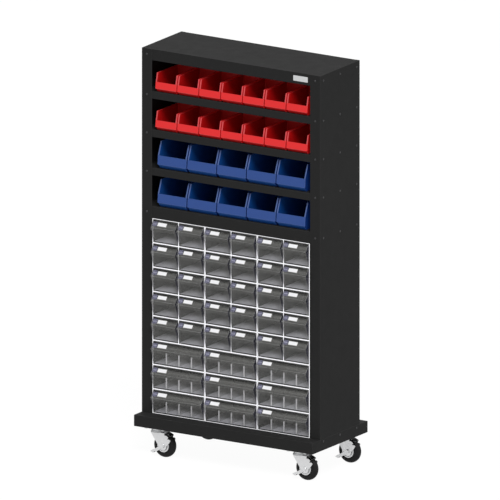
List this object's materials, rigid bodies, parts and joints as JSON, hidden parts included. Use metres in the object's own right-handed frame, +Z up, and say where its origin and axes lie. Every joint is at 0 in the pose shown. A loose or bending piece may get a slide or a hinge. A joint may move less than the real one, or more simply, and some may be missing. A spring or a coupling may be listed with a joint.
{
  "type": "parts bin cabinet",
  "caption": "Mobile steel parts cabinet: open shelves with red and blue picking bins above clear small-parts drawers, on a plinth with braked swivel casters.",
  "frame": {"origin": "on the floor, under the middle of the plinth", "axes": "+Z up, -Y towards the front with the bins and drawers, +X towards the cabinet's right"},
  "size_m": [0.854, 0.42, 1.69],
  "materials": {
    "panel_paint": "satin black powder coat",
    "housing_plastic": "gloss, translucent white",
    "clear_plastic": "clear moulded plastic",
    "red_plastic": "satin moulded",
    "blue_plastic": "satin moulded",
    "zinc_steel": "zinc plated",
    "wheel_rubber": "matt rubber"
  },
  "bodies": {
    "cabinet": {"side_panels": "panel_paint", "top_panel": "panel_paint", "back_panel": "panel_paint", "shelves": "panel_paint", "plinth": "panel_paint", "drawer_housings": "housing_plastic", "small_bins": "red_plastic", "large_bins": "blue_plastic", "hardware": "zinc_steel"},
    "drawer_1_1a": {"drawer_1_1a": "clear_plastic"},
    "drawer_1_1b": {"drawer_1_1b": "clear_plastic"},
    "drawer_1_2a": {"drawer_1_2a": "clear_plastic"},
    "drawer_1_2b": {"drawer_1_2b": "clear_plastic"},
    "drawer_1_3a": {"drawer_1_3a": "clear_plastic"},
    "drawer_1_3b": {"drawer_1_3b": "clear_plastic"},
    "drawer_1_4a": {"drawer_1_4a": "clear_plastic"},
    "drawer_1_4b": {"drawer_1_4b": "clear_plastic"},
    "drawer_1_5a": {"drawer_1_5a": "clear_plastic"},
    "drawer_1_5b": {"drawer_1_5b": "clear_plastic"},
    "drawer_2_1a": {"drawer_2_1a": "clear_plastic"},
    "drawer_2_1b": {"drawer_2_1b": "clear_plastic"},
    "drawer_2_2a": {"drawer_2_2a": "clear_plastic"},
    "drawer_2_2b": {"drawer_2_2b": "clear_plastic"},
    "drawer_2_3a": {"drawer_2_3a": "clear_plastic"},
    "drawer_2_3b": {"drawer_2_3b": "clear_plastic"},
    "drawer_2_4a": {"drawer_2_4a": "clear_plastic"},
    "drawer_2_4b": {"drawer_2_4b": "clear_plastic"},
    "drawer_2_5a": {"drawer_2_5a": "clear_plastic"},
    "drawer_2_5b": {"drawer_2_5b": "clear_plastic"},
    "drawer_3_1a": {"drawer_3_1a": "clear_plastic"},
    "drawer_3_1b": {"drawer_3_1b": "clear_plastic"},
    "drawer_3_2a": {"drawer_3_2a": "clear_plastic"},
    "drawer_3_2b": {"drawer_3_2b": "clear_plastic"},
    "drawer_3_3a": {"drawer_3_3a": "clear_plastic"},
    "drawer_3_3b": {"drawer_3_3b": "clear_plastic"},
    "drawer_3_4a": {"drawer_3_4a": "clear_plastic"},
    "drawer_3_4b": {"drawer_3_4b": "clear_plastic"},
    "drawer_3_5a": {"drawer_3_5a": "clear_plastic"},
    "drawer_3_5b": {"drawer_3_5b": "clear_plastic"},
    "wide_drawer_1_6": {"wide_drawer_1_6": "clear_plastic"},
    "wide_drawer_1_7": {"wide_drawer_1_7": "clear_plastic"},
    "wide_drawer_1_8": {"wide_drawer_1_8": "clear_plastic"},
    "wide_drawer_2_6": {"wide_drawer_2_6": "clear_plastic"},
    "wide_drawer_2_7": {"wide_drawer_2_7": "clear_plastic"},
    "wide_drawer_2_8": {"wide_drawer_2_8": "clear_plastic"},
    "wide_drawer_3_6": {"wide_drawer_3_6": "clear_plastic"},
    "wide_drawer_3_7": {"wide_drawer_3_7": "clear_plastic"},
    "wide_drawer_3_8": {"wide_drawer_3_8": "clear_plastic"},
    "caster_fork_fl": {"caster_fork_fl": "zinc_steel"},
    "caster_fork_fr": {"caster_fork_fr": "zinc_steel"},
    "caster_fork_rl": {"caster_fork_rl": "zinc_steel"},
    "caster_fork_rr": {"caster_fork_rr": "zinc_steel"},
    "caster_wheel_fl": {"caster_wheel_fl": "wheel_rubber"},
    "caster_wheel_fr": {"caster_wheel_fr": "wheel_rubber"},
    "caster_wheel_rl": {"caster_wheel_rl": "wheel_rubber"},
    "caster_wheel_rr": {"caster_wheel_rr": "wheel_rubber"},
    "brake_pedal_fl": {"brake_pedal_fl": "zinc_steel"},
    "brake_pedal_fr": {"brake_pedal_fr": "zinc_steel"},
    "brake_pedal_rl": {"brake_pedal_rl": "zinc_steel"},
    "brake_pedal_rr": {"brake_pedal_rr": "zinc_steel"}
  },
  "joints": [
    {"name": "drawer_1_1a_slide", "type": "slide", "parent": "cabinet", "child": "drawer_1_1a", "axis": [0, -1, 0], "range_m": [0, 0.15]},
    {"name": "drawer_1_1b_slide", "type": "slide", "parent": "cabinet", "child": "drawer_1_1b", "axis": [0, -1, 0], "range_m": [0, 0.15]},
    {"name": "drawer_1_2a_slide", "type": "slide", "parent": "cabinet", "child": "drawer_1_2a", "axis": [0, -1, 0], "range_m": [0, 0.15]},
    {"name": "drawer_1_2b_slide", "type": "slide", "parent": "cabinet", "child": "drawer_1_2b", "axis": [0, -1, 0], "range_m": [0, 0.15]},
    {"name": "drawer_1_3a_slide", "type": "slide", "parent": "cabinet", "child": "drawer_1_3a", "axis": [0, -1, 0], "range_m": [0, 0.15]},
    {"name": "drawer_1_3b_slide", "type": "slide", "parent": "cabinet", "child": "drawer_1_3b", "axis": [0, -1, 0], "range_m": [0, 0.15]},
    {"name": "drawer_1_4a_slide", "type": "slide", "parent": "cabinet", "child": "drawer_1_4a", "axis": [0, -1, 0], "range_m": [0, 0.15]},
    {"name": "drawer_1_4b_slide", "type": "slide", "parent": "cabinet", "child": "drawer_1_4b", "axis": [0, -1, 0], "range_m": [0, 0.15]},
    {"name": "drawer_1_5a_slide", "type": "slide", "parent": "cabinet", "child": "drawer_1_5a", "axis": [0, -1, 0], "range_m": [0, 0.15]},
    {"name": "drawer_1_5b_slide", "type": "slide", "parent": "cabinet", "child": "drawer_1_5b", "axis": [0, -1, 0], "range_m": [0, 0.15]},
    {"name": "drawer_2_1a_slide", "type": "slide", "parent": "cabinet", "child": "drawer_2_1a", "axis": [0, -1, 0], "range_m": [0, 0.15]},
    {"name": "drawer_2_1b_slide", "type": "slide", "parent": "cabinet", "child": "drawer_2_1b", "axis": [0, -1, 0], "range_m": [0, 0.15]},
    {"name": "drawer_2_2a_slide", "type": "slide", "parent": "cabinet", "child": "drawer_2_2a", "axis": [0, -1, 0], "range_m": [0, 0.15]},
    {"name": "drawer_2_2b_slide", "type": "slide", "parent": "cabinet", "child": "drawer_2_2b", "axis": [0, -1, 0], "range_m": [0, 0.15]},
    {"name": "drawer_2_3a_slide", "type": "slide", "parent": "cabinet", "child": "drawer_2_3a", "axis": [0, -1, 0], "range_m": [0, 0.15]},
    {"name": "drawer_2_3b_slide", "type": "slide", "parent": "cabinet", "child": "drawer_2_3b", "axis": [0, -1, 0], "range_m": [0, 0.15]},
    {"name": "drawer_2_4a_slide", "type": "slide", "parent": "cabinet", "child": "drawer_2_4a", "axis": [0, -1, 0], "range_m": [0, 0.15]},
    {"name": "drawer_2_4b_slide", "type": "slide", "parent": "cabinet", "child": "drawer_2_4b", "axis": [0, -1, 0], "range_m": [0, 0.15]},
    {"name": "drawer_2_5a_slide", "type": "slide", "parent": "cabinet", "child": "drawer_2_5a", "axis": [0, -1, 0], "range_m": [0, 0.15]},
    {"name": "drawer_2_5b_slide", "type": "slide", "parent": "cabinet", "child": "drawer_2_5b", "axis": [0, -1, 0], "range_m": [0, 0.15]},
    {"name": "drawer_3_1a_slide", "type": "slide", "parent": "cabinet", "child": "drawer_3_1a", "axis": [0, -1, 0], "range_m": [0, 0.15]},
    {"name": "drawer_3_1b_slide", "type": "slide", "parent": "cabinet", "child": "drawer_3_1b", "axis": [0, -1, 0], "range_m": [0, 0.15]},
    {"name": "drawer_3_2a_slide", "type": "slide", "parent": "cabinet", "child": "drawer_3_2a", "axis": [0, -1, 0], "range_m": [0, 0.15]},
    {"name": "drawer_3_2b_slide", "type": "slide", "parent": "cabinet", "child": "drawer_3_2b", "axis": [0, -1, 0], "range_m": [0, 0.15]},
    {"name": "drawer_3_3a_slide", "type": "slide", "parent": "cabinet", "child": "drawer_3_3a", "axis": [0, -1, 0], "range_m": [0, 0.15]},
    {"name": "drawer_3_3b_slide", "type": "slide", "parent": "cabinet", "child": "drawer_3_3b", "axis": [0, -1, 0], "range_m": [0, 0.15]},
    {"name": "drawer_3_4a_slide", "type": "slide", "parent": "cabinet", "child": "drawer_3_4a", "axis": [0, -1, 0], "range_m": [0, 0.15]},
    {"name": "drawer_3_4b_slide", "type": "slide", "parent": "cabinet", "child": "drawer_3_4b", "axis": [0, -1, 0], "range_m": [0, 0.15]},
    {"name": "drawer_3_5a_slide", "type": "slide", "parent": "cabinet", "child": "drawer_3_5a", "axis": [0, -1, 0], "range_m": [0, 0.15]},
    {"name": "drawer_3_5b_slide", "type": "slide", "parent": "cabinet", "child": "drawer_3_5b", "axis": [0, -1, 0], "range_m": [0, 0.15]},
    {"name": "wide_drawer_1_6_slide", "type": "slide", "parent": "cabinet", "child": "wide_drawer_1_6", "axis": [0, -1, 0], "range_m": [0, 0.15]},
    {"name": "wide_drawer_1_7_slide", "type": "slide", "parent": "cabinet", "child": "wide_drawer_1_7", "axis": [0, -1, 0], "range_m": [0, 0.15]},
    {"name": "wide_drawer_1_8_slide", "type": "slide", "parent": "cabinet", "child": "wide_drawer_1_8", "axis": [0, -1, 0], "range_m": [0, 0.15]},
    {"name": "wide_drawer_2_6_slide", "type": "slide", "parent": "cabinet", "child": "wide_drawer_2_6", "axis": [0, -1, 0], "range_m": [0, 0.15]},
    {"name": "wide_drawer_2_7_slide", "type": "slide", "parent": "cabinet", "child": "wide_drawer_2_7", "axis": [0, -1, 0], "range_m": [0, 0.15]},
    {"name": "wide_drawer_2_8_slide", "type": "slide", "parent": "cabinet", "child": "wide_drawer_2_8", "axis": [0, -1, 0], "range_m": [0, 0.15]},
    {"name": "wide_drawer_3_6_slide", "type": "slide", "parent": "cabinet", "child": "wide_drawer_3_6", "axis": [0, -1, 0], "range_m": [0, 0.15]},
    {"name": "wide_drawer_3_7_slide", "type": "slide", "parent": "cabinet", "child": "wide_drawer_3_7", "axis": [0, -1, 0], "range_m": [0, 0.15]},
    {"name": "wide_drawer_3_8_slide", "type": "slide", "parent": "cabinet", "child": "wide_drawer_3_8", "axis": [0, -1, 0], "range_m": [0, 0.15]},
    {"name": "caster_swivel_fl", "type": "hinge", "parent": "cabinet", "child": "caster_fork_fl", "pos_m": [-0.3385, -0.162, 0.103], "axis": [0, 0, 1], "continuous": true},
    {"name": "wheel_spin_fl", "type": "hinge", "parent": "caster_fork_fl", "child": "caster_wheel_fl", "pos_m": [-0.3055, -0.162, 0.05], "axis": [0, 1, 0], "continuous": true},
    {"name": "brake_release_fl", "type": "hinge", "parent": "caster_fork_fl", "child": "brake_pedal_fl", "pos_m": [-0.3055, -0.162, 0.05], "axis": [0, 1, 0], "range_deg": [0, 22]},
    {"name": "caster_swivel_fr", "type": "hinge", "parent": "cabinet", "child": "caster_fork_fr", "pos_m": [0.3385, -0.162, 0.103], "axis": [0, 0, 1], "continuous": true},
    {"name": "wheel_spin_fr", "type": "hinge", "parent": "caster_fork_fr", "child": "caster_wheel_fr", "pos_m": [0.3715, -0.162, 0.05], "axis": [0, 1, 0], "continuous": true},
    {"name": "brake_release_fr", "type": "hinge", "parent": "caster_fork_fr", "child": "brake_pedal_fr", "pos_m": [0.3715, -0.162, 0.05], "axis": [0, 1, 0], "range_deg": [0, 22]},
    {"name": "caster_swivel_rl", "type": "hinge", "parent": "cabinet", "child": "caster_fork_rl", "pos_m": [-0.3385, 0.162, 0.103], "axis": [0, 0, 1], "continuous": true},
    {"name": "wheel_spin_rl", "type": "hinge", "parent": "caster_fork_rl", "child": "caster_wheel_rl", "pos_m": [-0.3055, 0.162, 0.05], "axis": [0, 1, 0], "continuous": true},
    {"name": "brake_release_rl", "type": "hinge", "parent": "caster_fork_rl", "child": "brake_pedal_rl", "pos_m": [-0.3055, 0.162, 0.05], "axis": [0, 1, 0], "range_deg": [0, 22]},
    {"name": "caster_swivel_rr", "type": "hinge", "parent": "cabinet", "child": "caster_fork_rr", "pos_m": [0.3385, 0.162, 0.103], "axis": [0, 0, 1], "continuous": true},
    {"name": "wheel_spin_rr", "type": "hinge", "parent": "caster_fork_rr", "child": "caster_wheel_rr", "pos_m": [0.3715, 0.162, 0.05], "axis": [0, 1, 0], "continuous": true},
    {"name": "brake_release_rr", "type": "hinge", "parent": "caster_fork_rr", "child": "brake_pedal_rr", "pos_m": [0.3715, 0.162, 0.05], "axis": [0, 1, 0], "range_deg": [0, 22]}
  ]
}
